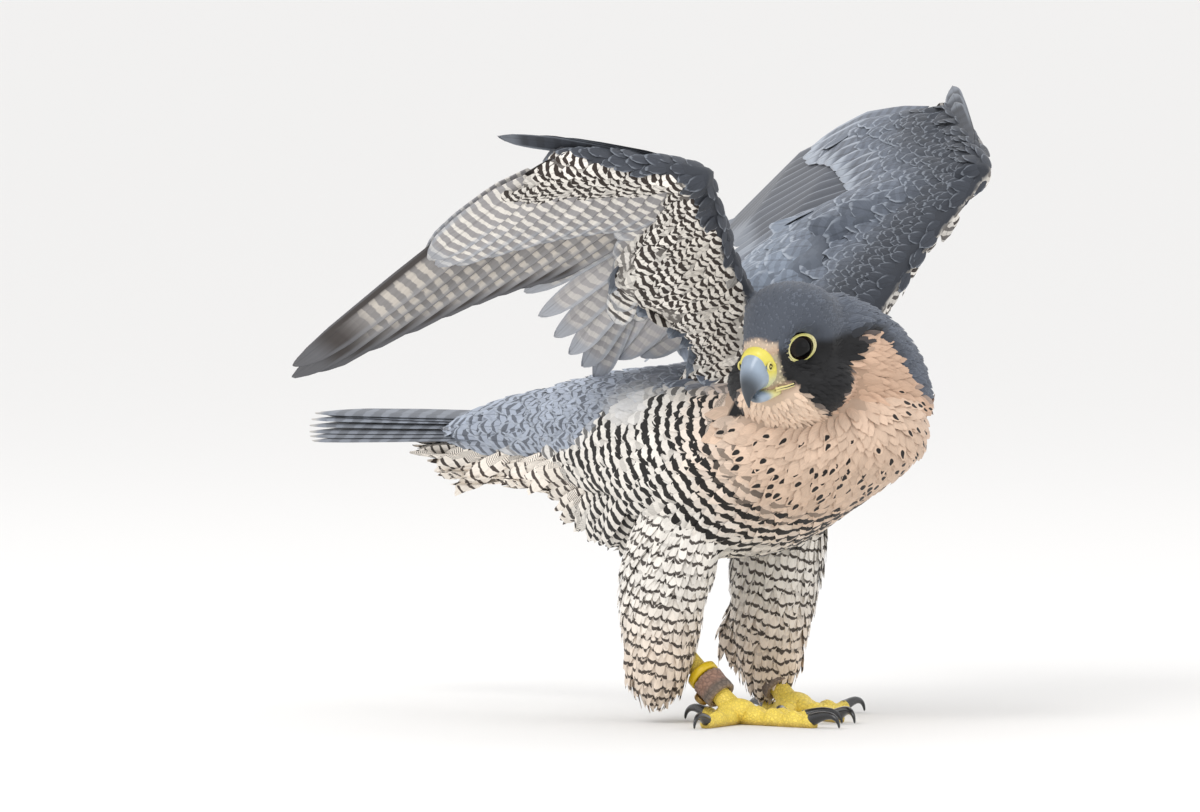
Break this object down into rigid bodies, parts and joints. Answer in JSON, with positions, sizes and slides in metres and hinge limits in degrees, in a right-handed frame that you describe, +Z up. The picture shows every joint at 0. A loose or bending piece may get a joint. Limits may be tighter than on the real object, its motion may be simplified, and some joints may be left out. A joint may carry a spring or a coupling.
{
  "type": "peregrine falcon",
  "caption": "Standing life-size falcon with both wings half raised, head turned over its right side, leather anklets and a leg ring.",
  "frame": {"origin": "middle of the bounding box at floor level, under the soles of the feet", "axes": "+Z up, -Y the way the body faces, +X towards the bird's left wing"},
  "size_m": [0.3324, 0.3688, 0.2948],
  "materials": {
    "breast_plumage": "soft barred feathers, pale buff to white",
    "back_plumage": "soft slate-grey feathers with pale fringes",
    "hood_plumage": "short, dense slate-black feathers",
    "wing_feathers": "smooth barred vanes, slate above and pale below",
    "primary_feathers": "smooth grey-brown vanes with pale bars",
    "tail_feathers": "smooth slate vanes with paler bars",
    "thigh_plumage": "loose barred feathers, white to buff",
    "eye": "wet, very dark brown",
    "cere_skin": "waxy pale yellow skin",
    "bill_horn": "polished blue-grey horn, darker to the tip",
    "claw_horn": "polished black horn",
    "foot_skin": "yellow scaled skin",
    "anklet_leather": "worn brown leather with a rough cut edge",
    "ring_plastic": "smooth mustard-yellow plastic",
    "eyelet_brass": "dull brass"
  },
  "bodies": {
    "root": {"torso": "breast_plumage", "neck": "back_plumage", "head": "hood_plumage", "eye_left": "eye", "eye_right": "eye", "cere": "cere_skin", "bill_upper": "bill_horn", "bill_lower": "bill_horn", "wing_right_arm": "wing_feathers", "wing_right_hand": "primary_feathers", "alula_right": "primary_feathers", "wing_left_arm": "wing_feathers", "wing_left_hand": "primary_feathers", "alula_left": "primary_feathers", "tail": "tail_feathers", "thigh_right": "thigh_plumage", "tarsus_right": "foot_skin", "foot_right": "foot_skin", "claw_right_middle": "claw_horn", "claw_right_inner": "claw_horn", "claw_right_outer": "claw_horn", "claw_right_hind": "claw_horn", "anklet_right": "anklet_leather", "leg_ring_right": "ring_plastic", "eyelet_right": "eyelet_brass", "thigh_left": "thigh_plumage", "tarsus_left": "foot_skin", "foot_left": "foot_skin", "claw_left_middle": "claw_horn", "claw_left_inner": "claw_horn", "claw_left_outer": "claw_horn", "claw_left_hind": "claw_horn", "anklet_left": "anklet_leather", "eyelet_left": "eyelet_brass"}
  },
  "joints": []
}
